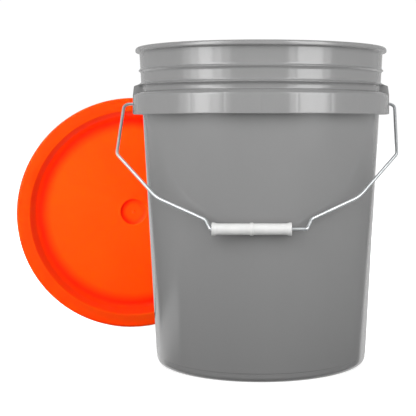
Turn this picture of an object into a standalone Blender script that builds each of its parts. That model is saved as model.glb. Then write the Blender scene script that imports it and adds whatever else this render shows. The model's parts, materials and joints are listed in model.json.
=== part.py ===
"""A plastic fermenting bucket: the pail, its wire bail with a roller grip, and its push-on lid and gasket.

Metres, +Z up. The origin is the centre of the pail's base, on the surface that it stands on.
The pail's ears are at -X and +X, and its bail hangs in front, at -Y. The lid is off: it stands on
its edge behind the pail and to the left of it, with its outer face to the front.
"""

from math import asin, atan, cos, hypot, pi, radians, sin, tan

import bmesh
import bpy
from mathutils import Matrix, Vector

# Pail wall: a straight taper, as the outer radius at the ground and its growth per metre of height.
PAIL_HEIGHT = 0.3682
WALL_R = 0.1232
WALL_TAPER = 0.0576
WALL = 0.0023
MOUTH_R = 0.1412
FLOOR_TOP = 0.0070
FLOOR_UNDER = 0.0040
CORNER_IN = 0.0080
CORNER_OUT = 0.0060
STEP_Z = 0.0102
STEP = 0.0004

# Base: a foot ring and a centre pad that meet the ground, with ribs between them.
FOOT_IN = 0.1115
PAD_R = 0.0180
BASE_RIBS = 8
BASE_RIB_WIDTH = 0.0020
BASE_RIB_LIFT = 0.0006
BASE_CUT = 0.0006

# Rim bead, with its roundings, and the two ribs below it, each as (height, outer radius). A rib's top
# flares out of the wall, RIB_HOLLOW of the way to its tip at half the flare.
BEAD_R = 0.1488
BEAD_UNDER = 0.3625
BEAD_TOP_ROUND = 0.0030
BEAD_LOW_ROUND = 0.0015
LIP_ROUND = 0.0025
NECK_FILLET = 0.0007
RIBS = ((0.3411, 0.1450), (0.3246, 0.1455))
RIB_FLARE = 0.0042
RIB_HOLLOW = 0.2
RIB_TIP = 0.0004
RIB_UNDER = 0.0022

# Skirt ring, which carries the ears: a shoulder that leaves the wall in a hollow, and a lip below it.
SKIRT_R = 0.1510
SKIRT_WALL = 0.0020
SKIRT_LOW = 0.2900
SHOULDER_TOP = 0.3184
SHOULDER_HOLLOW = ((0.1440, 0.3163), (0.1464, 0.3157))
SHOULDER_Z = 0.3126
SHOULDER_UNDER = 0.3110
SHOULDER_ROUND = 0.0012
EDGE_CUT = 0.0007
GUSSET_STEP = radians(15)
GUSSET_WIDTH = 0.0016
GUSSET_RISE = 0.0035

# Ears, at -X and +X: bosses on the skirt, open below, whose outer walls carry the bail.
EAR_HALF_WIDTH = 0.0190
EAR_R = 0.1518
EAR_TOP = 0.3256
EAR_LOW = 0.2904
EAR_SHOULDER = ((0.1450, 0.3256), (0.1500, 0.3234), (0.1506, 0.3226))
EAR_WALL = 0.0023
EAR_HOLE_R = 0.0023
EAR_HOLE_DEPTH = 0.0080
POCKET_HALF_WIDTH = 0.0165
POCKET_TOP = 0.3205
POCKET_LOW = 0.2850

# Bail: 3.6 mm wire, bent a little unevenly. The corners of each side, from its ear to the middle, are
# (distance from the middle, distance from the pivot, bend radius).
PIVOT_Z = 0.3025
WIRE_R = 0.0018
HEAD_R = 0.00325
HEAD_INNER = 0.1448
HEAD_OUTER = 0.1462
HEAD_STEP = 0.0001
BAIL_REACH = 0.1945
BAIL_LEFT = ((0.1600, 0.0, 0.0070), (0.1608, 0.0830, 0.0120), (0.1110, 0.1495, 0.0400),
             (0.0562, 0.1812, 0.0070), (0.0508, BAIL_REACH, 0.0030))
BAIL_RIGHT = ((0.1622, 0.0, 0.0070), (0.1574, 0.0830, 0.0120), (0.1105, 0.1482, 0.0400),
              (0.0570, 0.1804, 0.0070), (0.0520, BAIL_REACH, 0.0030))
BAIL_PLAY = -0.0030

# Grip: a roller on the straight of the bail, pushed to its left end.
GRIP_LENGTH = 0.0850
GRIP_R = 0.0061
GRIP_RING_R = 0.0068
GRIP_END_R = 0.0070
GRIP_BORE_R = 0.0023
GRIP_FLARE_LENGTH = 0.0060
GRIP_COLLAR_LENGTH = 0.0020
GRIP_RING_HALF = 0.0016
GRIP_RING_SLOPE = 0.0011
GRIP_EDGE_CUT = 0.0005
GRIP_OFFSET = -0.0068
GRIP_GAP = 0.0003

# Lid, in its own frame: +Z out of its face, z = 0 on the ring around its recess.
LID_R = 0.1570
LID_DEPTH = 0.0195
LID_WALL = 0.0022
LID_EDGE_ROUND = 0.0030
LID_RECESS = 0.0150
RECESS_R = 0.1398
RECESS_DRAFT = 29.0
RECESS_FILLET = 0.0100
RECESS_LIP = 0.0008
PLUG_R = 0.1402
SNAP_R = 0.1484
SNAP_Z = -0.0113
SNAP_HALF = 0.0005
SNAP_LEAD = 0.0042
SNAP_BACK = 0.0032
CHANNEL_R = 0.1526
DIMPLE_R = 0.0180
DIMPLE_FLOOR_R = 0.0125
DIMPLE_DEPTH = 0.0030
DIMPLE_UNDER = 0.0012
NUB_R = 0.0025
NUB_CUT = 0.0003
NUB_HEIGHT = 0.0014

# Gasket: a flat ring in the top of the lid's channel, around its plug.
GASKET_IN = 0.1408
GASKET_OUT = 0.1478
GASKET_DEPTH = 0.0026
GASKET_CORNER = 0.0005

# Where the lid stands: its face is turned about the vertical and set back from the pail's axis,
# clear of the bail's swing.
LID_TURN = radians(7)
LID_SETBACK = 0.2045
LID_ALONG = -0.1505

# TOUCH_GAP parts pieces that touch. OVERLAP sinks a solid into the one that it is joined to.
TOUCH_GAP = 0.0003
OVERLAP = 0.0010
TURN_STEPS = 48
GRIP_STEPS = 20
SMOOTH_BELOW = radians(32)


def wall_r(z):
    """The pail wall's outer radius at a height."""
    return WALL_R + WALL_TAPER * z


def arc(centre, radius, start, end, pieces):
    """Points (r, z) along an arc, from one angle in degrees to another."""
    points = []
    for i in range(pieces + 1):
        angle = radians(start + (end - start) * i / pieces)
        points.append((centre[0] + radius * cos(angle), centre[1] + radius * sin(angle)))
    return points


def plastic(name, colour, roughness, metallic=0.0):
    """A plain Principled material."""
    material = bpy.data.materials.new(name)
    material.use_nodes = True
    shader = material.node_tree.nodes["Principled BSDF"]
    shader.inputs["Base Color"].default_value = (*colour, 1.0)
    shader.inputs["Roughness"].default_value = roughness
    shader.inputs["Metallic"].default_value = metallic
    return material


def add_object(name, data, collection):
    obj = bpy.data.objects.new(name, data)
    collection.objects.link(obj)
    return obj


def add_cutter(name, data, collection):
    """A helper that Booleans use, which isn't part of the object."""
    obj = add_object(name, data, collection)
    obj.hide_render = True
    obj.display_type = "WIRE"
    return obj


def turned_mesh(name, outline, closed):
    """An outline of (r, z) points, down its outer side, as a mesh of edges in the XZ plane."""
    mesh = bpy.data.meshes.new(name)
    edges = [(i, i + 1) for i in range(len(outline) - 1)]
    if closed:
        edges.append((len(outline) - 1, 0))
    mesh.from_pydata([(r, 0.0, z) for r, z in outline], edges, [])
    return mesh


def add_turn(obj, steps):
    """Turns the object's outline about its Z axis."""
    screw = obj.modifiers.new("Turn", "SCREW")
    screw.axis = "Z"
    screw.angle = 2 * pi
    screw.steps = steps
    screw.render_steps = steps
    screw.use_merge_vertices = True
    screw.merge_threshold = 0.00001


def add_boolean(obj, operation, other):
    boolean = obj.modifiers.new(other.name, "BOOLEAN")
    boolean.operation = operation
    boolean.solver = "EXACT"
    boolean.object = other


def add_box(bm, size, place):
    bmesh.ops.create_cube(bm, size=1.0, matrix=place @ Matrix.Diagonal((*size, 1.0)))


def mesh_from(name, bm):
    mesh = bpy.data.meshes.new(name)
    bm.to_mesh(mesh)
    bm.free()
    return mesh


def finish(obj, material):
    """Applies the modifiers, then shades the result smooth up to its sharp edges."""
    bpy.context.view_layer.update()
    graph = bpy.context.evaluated_depsgraph_get()
    mesh = bpy.data.meshes.new_from_object(obj.evaluated_get(graph))
    mesh.name = obj.name
    obj.modifiers.clear()
    obj.data = mesh
    mesh.shade_smooth()
    mesh.set_sharp_from_angle(angle=SMOOTH_BELOW)
    mesh.materials.clear()
    mesh.materials.append(material)


def rib_points(z, r):
    """A rib around the neck: a hollow flare down to its tip, then a short slope back under it."""
    middle = z + RIB_FLARE / 2
    return [
        (wall_r(z + RIB_FLARE), z + RIB_FLARE),
        (wall_r(middle) + RIB_HOLLOW * (r - wall_r(middle)), middle),
        (r, z + RIB_TIP),
        (r, z - RIB_TIP),
        (wall_r(z - RIB_UNDER), z - RIB_UNDER),
    ]


def pail_outline():
    """The pail's section, from the middle of its floor, up its inside and down its outside."""
    inner_corner = wall_r(FLOOR_TOP) - WALL
    inside = [(0.0, FLOOR_TOP)]
    inside += arc((inner_corner - CORNER_IN, FLOOR_TOP + CORNER_IN), CORNER_IN, -90, 0, 3)
    bead = arc((MOUTH_R + LIP_ROUND, PAIL_HEIGHT - LIP_ROUND), LIP_ROUND, 180, 90, 2)
    bead += arc((BEAD_R - BEAD_TOP_ROUND, PAIL_HEIGHT - BEAD_TOP_ROUND), BEAD_TOP_ROUND, 90, 0, 3)
    bead += arc((BEAD_R - BEAD_LOW_ROUND, BEAD_UNDER + BEAD_LOW_ROUND), BEAD_LOW_ROUND, 0, -90, 2)
    bead += [
        (wall_r(BEAD_UNDER) + NECK_FILLET, BEAD_UNDER),
        (wall_r(BEAD_UNDER), BEAD_UNDER - NECK_FILLET),
    ]
    ribs = rib_points(*RIBS[0]) + rib_points(*RIBS[1])
    inner = SKIRT_R - SKIRT_WALL
    skirt = [
        (wall_r(SHOULDER_TOP), SHOULDER_TOP),
        *SHOULDER_HOLLOW,
        (SKIRT_R - SHOULDER_ROUND, SHOULDER_Z),
        (SKIRT_R, SHOULDER_Z - SHOULDER_ROUND),
        (SKIRT_R, SKIRT_LOW + EDGE_CUT),
        (SKIRT_R - EDGE_CUT, SKIRT_LOW),
        (inner + EDGE_CUT / 2, SKIRT_LOW),
        (inner, SKIRT_LOW + EDGE_CUT),
        (inner, SHOULDER_UNDER - SHOULDER_ROUND),
        (inner - SHOULDER_ROUND, SHOULDER_UNDER),
        (wall_r(SHOULDER_UNDER), SHOULDER_UNDER),
    ]
    foot_r = wall_r(CORNER_OUT) - STEP
    low = [(wall_r(STEP_Z), STEP_Z), (wall_r(STEP_Z) - STEP, STEP_Z - STEP)]
    low += arc((foot_r - CORNER_OUT, CORNER_OUT), CORNER_OUT, 0, -90, 4)
    base = [
        (FOOT_IN + BASE_CUT, 0.0),
        (FOOT_IN, BASE_CUT),
        (FOOT_IN - BASE_CUT, FLOOR_UNDER),
        (PAD_R + BASE_CUT, FLOOR_UNDER),
        (PAD_R, BASE_CUT),
        (PAD_R - BASE_CUT, 0.0),
        (0.0, 0.0),
    ]
    return inside + bead + ribs + skirt + low + base


def ear_section():
    """The section of an ear, from inside the pail's wall out to its face."""
    return [
        (wall_r(EAR_TOP) - OVERLAP, EAR_TOP),
        *EAR_SHOULDER,
        (EAR_R, SHOULDER_Z),
        (EAR_R, EAR_LOW + EDGE_CUT),
        (EAR_R - EDGE_CUT, EAR_LOW),
        (wall_r(EAR_LOW) - OVERLAP, EAR_LOW),
    ]


def pocket_section():
    """The section of the pocket behind an ear's outer wall, down past the skirt's lower edge."""
    outer = EAR_R - EAR_WALL
    return [
        (wall_r(POCKET_TOP) + TOUCH_GAP, POCKET_TOP),
        (outer - SHOULDER_ROUND, POCKET_TOP),
        (outer, SHOULDER_UNDER),
        (outer, POCKET_LOW),
        (wall_r(POCKET_LOW) + TOUCH_GAP, POCKET_LOW),
    ]


def ear_solid(name, section, half_width, cutters):
    """Both ears' share of a ring: the ring of this section, kept only within the ears' width."""
    slab_bm = bmesh.new()
    across = 2 * (EAR_R + EAR_WALL)
    add_box(slab_bm, (across, 2 * half_width, across), Matrix.Translation((0.0, 0.0, PIVOT_Z)))
    slab = add_cutter(name + "_slab", mesh_from(name + "_slab", slab_bm), cutters)
    ring = add_cutter(name, turned_mesh(name, section, closed=True), cutters)
    add_turn(ring, TURN_STEPS)
    add_boolean(ring, "INTERSECT", slab)
    return ring


def gussets(cutters):
    """Upright webs between the skirt and the wall, everywhere but in the ears."""
    low = SKIRT_LOW + GUSSET_RISE
    high = SHOULDER_UNDER + OVERLAP
    near = wall_r(low) - OVERLAP
    far = SKIRT_R - SKIRT_WALL + OVERLAP
    bm = bmesh.new()
    for i in range(round(2 * pi / GUSSET_STEP)):
        angle = i * GUSSET_STEP
        if abs(sin(angle)) * near < EAR_HALF_WIDTH:
            continue
        middle = Matrix.Translation(((near + far) / 2, 0.0, (low + high) / 2))
        add_box(bm, (far - near, GUSSET_WIDTH, high - low), Matrix.Rotation(angle, 4, "Z") @ middle)
    return add_cutter("gussets", mesh_from("gussets", bm), cutters)


def base_ribs(cutters):
    """Radial ribs under the floor, from the centre pad to the foot ring."""
    near = PAD_R - 2 * OVERLAP
    far = FOOT_IN + 2 * OVERLAP
    high = FLOOR_UNDER + OVERLAP
    bm = bmesh.new()
    for i in range(BASE_RIBS):
        turn = Matrix.Rotation(2 * pi * (i + 0.5) / BASE_RIBS, 4, "Z")
        middle = Matrix.Translation(((near + far) / 2, 0.0, (BASE_RIB_LIFT + high) / 2))
        add_box(bm, (far - near, BASE_RIB_WIDTH, high - BASE_RIB_LIFT), turn @ middle)
    return add_cutter("base_ribs", mesh_from("base_ribs", bm), cutters)


def ear_holes(cutters):
    """The two holes, on the bail's axis, through the ears' outer walls."""
    bm = bmesh.new()
    for side in (-1, 1):
        middle = Matrix.Translation((side * (EAR_R - EAR_WALL / 2), 0.0, PIVOT_Z))
        bmesh.ops.create_cone(
            bm, cap_ends=True, segments=16, radius1=EAR_HOLE_R, radius2=EAR_HOLE_R,
            depth=EAR_HOLE_DEPTH, matrix=middle @ Matrix.Rotation(pi / 2, 4, "Y"),
        )
    return add_cutter("ear_holes", mesh_from("ear_holes", bm), cutters)


def make_pail(parts, cutters):
    """The pail: one moulding with its rim, ribs, skirt, gussets and ears."""
    pail = add_object("bucket_body", turned_mesh("bucket_body", pail_outline(), closed=False), parts)
    add_turn(pail, TURN_STEPS)
    add_boolean(pail, "UNION", ear_solid("ears", ear_section(), EAR_HALF_WIDTH, cutters))
    add_boolean(pail, "UNION", gussets(cutters))
    add_boolean(pail, "UNION", base_ribs(cutters))
    add_boolean(pail, "DIFFERENCE",
                ear_solid("ear_pockets", pocket_section(), POCKET_HALF_WIDTH, cutters))
    add_boolean(pail, "DIFFERENCE", ear_holes(cutters))
    finish(pail, plastic("pail_grey", (0.30, 0.30, 0.30), 0.45))


def rest_angle():
    """How far the bail hangs forward of straight down, where its grip meets the sloping wall."""
    clear = (GRIP_RING_R + GRIP_GAP) * hypot(1.0, WALL_TAPER)
    reach = (wall_r(PIVOT_Z) + clear) / (BAIL_REACH * hypot(1.0, WALL_TAPER))
    return asin(reach) - atan(WALL_TAPER)


def rounded(before, corner, after, radius, pieces=3):
    """Points along the bend that replaces a corner."""
    to_before = (before - corner).normalized()
    to_after = (after - corner).normalized()
    half = to_before.angle(to_after) / 2
    centre = corner + (to_before + to_after).normalized() * (radius / sin(half))
    start = corner + to_before * (radius / tan(half)) - centre
    end = corner + to_after * (radius / tan(half)) - centre
    turn = start.angle(end)
    return [
        centre + (start * sin(turn * (1 - i / pieces)) + end * sin(turn * i / pieces)) / sin(turn)
        for i in range(pieces + 1)
    ]


def bail_side(corners):
    """One side of the bail, from its button head to the grip, as (x, distance from the pivot, radius)."""
    route = [
        (HEAD_INNER, 0.0, HEAD_R),
        (HEAD_OUTER, 0.0, HEAD_R),
        (HEAD_OUTER + HEAD_STEP, 0.0, WIRE_R),
    ]
    end = Vector((HEAD_OUTER, 0.0))
    middle = Vector((0.0, BAIL_REACH))
    bends = [end] + [Vector(corner[:2]) for corner in corners] + [middle]
    for i, corner in enumerate(corners):
        points = rounded(bends[i], bends[i + 1], bends[i + 2], radius=corner[2])
        route += [(point.x, point.y, WIRE_R) for point in points]
    return route


def make_bail(parts):
    """The bail: one bent wire with a button head in each ear, hung on the ears' axis."""
    route = bail_side(BAIL_RIGHT)
    route += [(-x, reach, r) for x, reach, r in reversed(bail_side(BAIL_LEFT))]
    curve = bpy.data.curves.new("bail_wire", "CURVE")
    curve.dimensions = "3D"
    curve.bevel_depth = WIRE_R
    curve.bevel_resolution = 2
    curve.use_fill_caps = True
    spline = curve.splines.new("POLY")
    spline.points.add(len(route) - 1)
    for point, (x, reach, r) in zip(spline.points, route):
        point.co = (x, 0.0, -reach, 1.0)
        point.radius = r / WIRE_R
    curve.materials.append(plastic("galvanised_wire", (0.62, 0.64, 0.66), 0.35, metallic=1.0))
    bail = add_object("bail_wire", curve, parts)
    bail.location = (BAIL_PLAY, 0.0, PIVOT_Z)
    bail.rotation_euler = (-rest_angle(), 0.0, 0.0)
    return bail


def make_grip(bail, parts):
    """The grip: a hollow roller, flared at its ends and ringed at its middle."""
    half = GRIP_LENGTH / 2
    side = [
        (GRIP_END_R - GRIP_EDGE_CUT, half),
        (GRIP_END_R, half - GRIP_EDGE_CUT),
        (GRIP_END_R, half - GRIP_COLLAR_LENGTH),
        (GRIP_R, half - GRIP_FLARE_LENGTH),
        (GRIP_R, GRIP_RING_HALF + GRIP_RING_SLOPE),
        (GRIP_RING_R, GRIP_RING_HALF),
    ]
    outline = side + [(r, -z) for r, z in reversed(side)]
    outline += [(GRIP_BORE_R, -half), (GRIP_BORE_R, half)]
    grip = add_object("bail_grip", turned_mesh("bail_grip", outline, closed=True), parts)
    add_turn(grip, GRIP_STEPS)
    finish(grip, plastic("grip_white", (0.86, 0.86, 0.85), 0.35))
    grip.parent = bail
    grip.location = (GRIP_OFFSET, 0.0, -BAIL_REACH)
    grip.rotation_euler = (0.0, pi / 2, 0.0)


def lid_outline():
    """The lid's section, from the middle of its face, out to its edge and back under it."""
    panel = -LID_RECESS
    dimple = panel - DIMPLE_DEPTH
    nub = dimple + NUB_HEIGHT
    slope = tan(radians(RECESS_DRAFT))
    foot_z = panel + RECESS_FILLET * (1 - sin(radians(RECESS_DRAFT)))
    foot_r = RECESS_R - RECESS_LIP - slope * (-RECESS_LIP - foot_z)
    centre = (foot_r - RECESS_FILLET * cos(radians(RECESS_DRAFT)), panel + RECESS_FILLET)
    face = [(0.0, nub), (NUB_R, nub), (NUB_R + NUB_CUT, dimple), (DIMPLE_FLOOR_R, dimple), (DIMPLE_R, panel)]
    face += arc(centre, RECESS_FILLET, -90, -RECESS_DRAFT, 3)
    face += [(RECESS_R - RECESS_LIP, -RECESS_LIP), (RECESS_R, 0.0)]
    edge = arc((LID_R - LID_EDGE_ROUND, -LID_EDGE_ROUND), LID_EDGE_ROUND, 90, 0, 3)
    edge += [(LID_R, EDGE_CUT - LID_DEPTH), (LID_R - EDGE_CUT, -LID_DEPTH)]
    inner = LID_R - LID_WALL
    edge += [(inner + EDGE_CUT, -LID_DEPTH), (inner, EDGE_CUT - LID_DEPTH)]
    snap = [
        (inner, SNAP_Z - SNAP_HALF - SNAP_LEAD),
        (SNAP_R, SNAP_Z - SNAP_HALF),
        (SNAP_R, SNAP_Z + SNAP_HALF),
        (CHANNEL_R, SNAP_Z + SNAP_HALF + SNAP_BACK),
        (CHANNEL_R, -LID_WALL),
        (PLUG_R, -LID_WALL),
    ]
    plug = arc(centre, RECESS_FILLET + LID_WALL, -RECESS_DRAFT, -90, 3)
    plug_foot_r, plug_foot_z = plug[0]
    snap.append((PLUG_R, plug_foot_z + (PLUG_R - plug_foot_r) / slope))
    under = [
        (DIMPLE_R + DIMPLE_UNDER, panel - LID_WALL),
        (DIMPLE_FLOOR_R + DIMPLE_UNDER, dimple - LID_WALL),
        (0.0, dimple - LID_WALL),
    ]
    return face + edge + snap + plug + under


def make_lid(parts):
    """The lid, stood on its edge with its face turned towards the pail's front."""
    lid = add_object("lid", turned_mesh("lid", lid_outline(), closed=False), parts)
    add_turn(lid, TURN_STEPS)
    finish(lid, plastic("lid_orange", (0.95, 0.11, 0.012), 0.35))
    back = Vector((-sin(LID_TURN), cos(LID_TURN), 0.0))
    along = Vector((cos(LID_TURN), sin(LID_TURN), 0.0))
    lid.location = back * LID_SETBACK + along * LID_ALONG + Vector((0.0, 0.0, LID_R))
    lid.rotation_euler = (pi / 2, 0.0, LID_TURN)
    return lid


def make_gasket(lid, parts):
    """The gasket, which lies in the lid's channel and seals on the pail's rim."""
    top = -LID_WALL - TOUCH_GAP
    low = top - GASKET_DEPTH
    cut = GASKET_CORNER
    outline = [
        (GASKET_IN + cut, top),
        (GASKET_OUT - cut, top),
        (GASKET_OUT, top - cut),
        (GASKET_OUT, low + cut),
        (GASKET_OUT - cut, low),
        (GASKET_IN + cut, low),
        (GASKET_IN, low + cut),
        (GASKET_IN, top - cut),
    ]
    gasket = add_object("lid_gasket", turned_mesh("lid_gasket", outline, closed=True), parts)
    add_turn(gasket, TURN_STEPS)
    finish(gasket, plastic("gasket_rubber", (0.05, 0.05, 0.05), 0.7))
    gasket.parent = lid


def main():
    for obj in list(bpy.data.objects):
        bpy.data.objects.remove(obj, do_unlink=True)
    parts = bpy.data.collections.new("fermenting_bucket")
    cutters = bpy.data.collections.new("fermenting_bucket_cutters")
    for collection in (parts, cutters):
        bpy.context.scene.collection.children.link(collection)
    make_pail(parts, cutters)
    bail = make_bail(parts)
    make_grip(bail, parts)
    lid = make_lid(parts)
    make_gasket(lid, parts)


main()
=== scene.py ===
"""The looks of the plastic fermenting bucket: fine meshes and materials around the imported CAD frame.

Metres, +Z up. Every piece is a detailed mesh that stands for one CAD node. The main dimensions repeat
the design's. The bail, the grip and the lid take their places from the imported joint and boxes, and the
pail stands at the origin.
"""

import json
from math import asin, atan, cos, hypot, pi, radians, sin, tan

import bmesh
import bpy
from mathutils import Matrix, Vector

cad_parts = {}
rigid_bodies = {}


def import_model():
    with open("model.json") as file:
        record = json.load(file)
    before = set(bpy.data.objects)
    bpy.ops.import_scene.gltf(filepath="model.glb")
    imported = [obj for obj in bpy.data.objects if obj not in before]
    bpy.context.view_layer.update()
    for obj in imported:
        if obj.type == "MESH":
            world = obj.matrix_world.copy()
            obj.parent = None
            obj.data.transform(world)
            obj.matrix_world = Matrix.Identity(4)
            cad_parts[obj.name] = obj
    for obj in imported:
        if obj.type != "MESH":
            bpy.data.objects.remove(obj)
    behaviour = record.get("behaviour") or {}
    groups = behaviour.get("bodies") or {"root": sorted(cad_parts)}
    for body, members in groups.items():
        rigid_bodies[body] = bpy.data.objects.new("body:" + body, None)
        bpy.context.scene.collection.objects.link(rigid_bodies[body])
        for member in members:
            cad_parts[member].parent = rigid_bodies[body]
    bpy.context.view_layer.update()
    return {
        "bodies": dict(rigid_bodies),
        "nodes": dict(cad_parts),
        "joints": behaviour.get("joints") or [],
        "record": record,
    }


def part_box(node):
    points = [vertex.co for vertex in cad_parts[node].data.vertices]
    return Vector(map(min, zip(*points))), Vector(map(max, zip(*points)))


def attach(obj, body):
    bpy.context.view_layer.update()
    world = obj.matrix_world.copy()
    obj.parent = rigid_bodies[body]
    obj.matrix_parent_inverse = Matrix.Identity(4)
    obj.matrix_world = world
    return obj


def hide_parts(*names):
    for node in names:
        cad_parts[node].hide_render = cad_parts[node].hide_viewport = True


# Pail wall, floor and base. GATE_STUB is what is left of the gate, as (radius, height).
PAIL_HEIGHT = 0.3682
WALL_R = 0.1232
WALL_TAPER = 0.0576
WALL = 0.0023
MOUTH_R = 0.1412
FLOOR_TOP = 0.0070
FLOOR_UNDER = 0.0040
CORNER_IN = 0.0080
CORNER_OUT = 0.0060
STEP_Z = 0.0102
STEP = 0.0004
FOOT_IN = 0.1115
PAD_R = 0.0180
BASE_RIBS = 8
BASE_RIB_WIDTH = 0.0020
BASE_RIB_LIFT = 0.0006
GATE_R = 0.0060
GATE_DEPTH = 0.0008
GATE_SLOPE = 0.0004
GATE_STUB = ((0.0010, GATE_DEPTH), (0.0007, 0.0003), (0.0, 0.0003))
INNER_GATE_R = 0.0040
INNER_GATE_HEIGHT = 0.0003

# Rim bead and neck ribs. Each rib is (height, tip radius).
BEAD_R = 0.1488
BEAD_UNDER = 0.3625
BEAD_TOP_ROUND = 0.0030
BEAD_LOW_ROUND = 0.0015
LIP_ROUND = 0.0025
NECK_FILLET = 0.0007
RIBS = ((0.3411, 0.1450), (0.3246, 0.1455))
RIB_FLARE = 0.0042
RIB_HOLLOW = 2.4
RIB_TIP = 0.0004
RIB_UNDER = 0.0022

# The skirt with its shoulder, gussets and ears. SHOULDER_FILLET is (out from the wall, down) and the
# other pairs are (radius, height).
SKIRT_R = 0.1510
SKIRT_WALL = 0.0020
SKIRT_LOW = 0.2900
SKIRT_TOP_ROUND = 0.0022
SKIRT_TOP_DROP = 0.0014
SHOULDER_TOP = 0.3184
SHOULDER_FILLET = ((0.0, 0.0), (0.0002, 0.0010), (0.0009, 0.0018))
SHOULDER_HOLLOW = ((0.1440, 0.3163), (0.1464, 0.3157), (0.1476, 0.3150))
SHOULDER_Z = 0.3126
SHOULDER_UNDER = 0.3110
SHOULDER_ROUND = 0.0012
EDGE_ROUND = 0.0007
GUSSET_STEP = radians(15)
GUSSET_WIDTH = 0.0016
GUSSET_RISE = 0.0035
EAR_HALF_WIDTH = 0.0190
EAR_R = 0.1518
EAR_TOP = 0.3256
EAR_LOW = 0.2904
EAR_TOP_CENTRE = (0.1440, 0.3246)
EAR_TOP_ROUND = 0.0010
EAR_FACE_CENTRE = (0.1492, 0.3222)
EAR_FACE_ROUND = 0.0014
EAR_EDGE_ROUND = 0.0006
EAR_WALL = 0.0023
EAR_HOLE_R = 0.0023
EAR_HOLE_DEPTH = 0.0080
POCKET_HALF_WIDTH = 0.0165
POCKET_TOP = 0.3205
POCKET_LOW = 0.2850

# Bail and grip. The corners of each side of the bail, from its ear to the middle, are (distance from the
# middle, distance from the pivot, bend radius). HEAD_DOME_ANGLES are in radians, and GRIP_RING_FOOT is
# (radius, distance from the grip's middle).
PIVOT_Z = 0.3025
WIRE_R = 0.0018
HEAD_R = 0.00325
HEAD_INNER = 0.1448
HEAD_OUTER = 0.1462
HEAD_DOME = 0.0004
HEAD_DOME_ANGLES = (0.5, 0.9, 1.2, pi / 2)
HEAD_EDGE = 0.0002
HEAD_EDGE_R = 0.00299
BAIL_REACH = 0.1945
BAIL_LEFT = ((0.1600, 0.0, 0.0070), (0.1608, 0.0830, 0.0120), (0.1110, 0.1495, 0.0400),
             (0.0562, 0.1812, 0.0070), (0.0508, BAIL_REACH, 0.0030))
BAIL_RIGHT = ((0.1622, 0.0, 0.0070), (0.1574, 0.0830, 0.0120), (0.1105, 0.1482, 0.0400),
              (0.0570, 0.1804, 0.0070), (0.0520, BAIL_REACH, 0.0030))
BAIL_PLAY = -0.0030
GRIP_LENGTH = 0.0850
GRIP_R = 0.0061
GRIP_RING_R = 0.0068
GRIP_END_R = 0.0070
GRIP_BORE_R = 0.0023
GRIP_FLARE_LENGTH = 0.0060
GRIP_COLLAR_LENGTH = 0.0020
GRIP_RING_FOOT = ((GRIP_R, 0.0027), (0.0062, 0.0024))
GRIP_RING_FACE = 0.0012
GRIP_RING_ROUND = 0.0006
GRIP_LEAD = 0.0005
GRIP_SEAM = 0.00012
GRIP_SEAM_WIDTH = 0.09
GRIP_GAP = 0.0003

# Lid and gasket, in the lid's own frame: +Z out of its face, z = 0 on the ring around its recess.
# RECESS_EDGE is (out from the recess's edge, height), and DIMPLE_RING is (out from the dimple, height
# over the panel). The draft, the dimple's side and the nub's arc are in degrees.
LID_R = 0.1570
LID_DEPTH = 0.0195
LID_WALL = 0.0022
LID_EDGE_ROUND = 0.0030
LID_RECESS = 0.0150
RECESS_R = 0.1398
RECESS_DRAFT = 29.0
RECESS_FILLET = 0.0100
RECESS_LIP = 0.0008
RECESS_LIP_SET = 0.0004
RECESS_EDGE = ((-0.0002, -0.0003), (0.0004, 0.0))
PANEL_CROWN = 0.0005
PANEL_FLAT = 0.0040
PANEL_STEPS = 10
PLUG_R = 0.1402
SNAP_R = 0.1484
SNAP_Z = -0.0113
SNAP_HALF = 0.0005
SNAP_LEAD = 0.0042
SNAP_BACK = 0.0032
CHANNEL_R = 0.1526
DIMPLE_R = 0.0180
DIMPLE_FLOOR_R = 0.0125
DIMPLE_DEPTH = 0.0030
DIMPLE_UNDER = 0.0012
DIMPLE_SIDE = 58.0
DIMPLE_LIP = 0.0002
DIMPLE_RING = ((0.0, 0.0001), (0.0008, 0.0005), (0.0018, 0.0005), (0.0028, 0.0001), (0.0040, 0.00005))
NUB_R = 0.0025
NUB_HEIGHT = 0.0014
NUB_FOOT = 0.0002
NUB_ARC = (88, 31)
GASKET_IN = 0.1408
GASKET_OUT = 0.1478
GASKET_DEPTH = 0.0026
GASKET_ROUND = 0.0006
LID_TURN = radians(7)

# Gaps between pieces, overlaps of joined solids, and how finely round shapes are divided. An extra loop
# at HOLD past a rounded edge keeps the flat face beyond it flat when it is shaded, and WALL_LOOP is how
# far apart the loops down the long wall are.
TOUCH_GAP = 0.0003
OVERLAP = 0.0010
HOLD = 0.0008
WALL_LOOP = 0.0200
TURN_STEPS = 240
GRIP_STEPS = 96
HOLE_STEPS = 48
FLOOR_STEPS = 96
BEND_STEPS = 12
CURVE_STEPS = 8
WIRE_STEPS = 8
EDGE_STEPS = 3
SMOOTH_BELOW = radians(32)
BEVEL_ABOVE = radians(50)

# The half width of the sink lines over the gussets, as an angle. Then where painted shade deepens the
# lid's orange,
# by distance from its middle: the range over which each area begins, and the range over which it ends. The
# dimple's painted shadow is on one side only, by X, and RING_START is where the plain ring around the
# recess begins.
SINK_WIDTH = 0.016
DIMPLE_PAINTED_SHADOW = ((0.0095, 0.0155), (0.0172, 0.0182))
DIMPLE_SHADOW_SIDE = (-0.010, 0.016)
FOOT_PAINTED_SHADE = ((0.112, 0.125), (0.128, 0.137))
SLOPE_PAINTED_SHADE = ((0.126, 0.133), (0.138, 0.141))
RING_START = (0.139, 0.142)

# Camera: level and square to the pail, with the lens shifted left and down to frame the object.
CAMERA_PLACE = (0.0, -1.2527, 0.2815)
CAMERA_LENS = 90.87
CAMERA_SENSOR = 36.0
CAMERA_SHIFT = (-0.1273, -0.2077)

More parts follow.
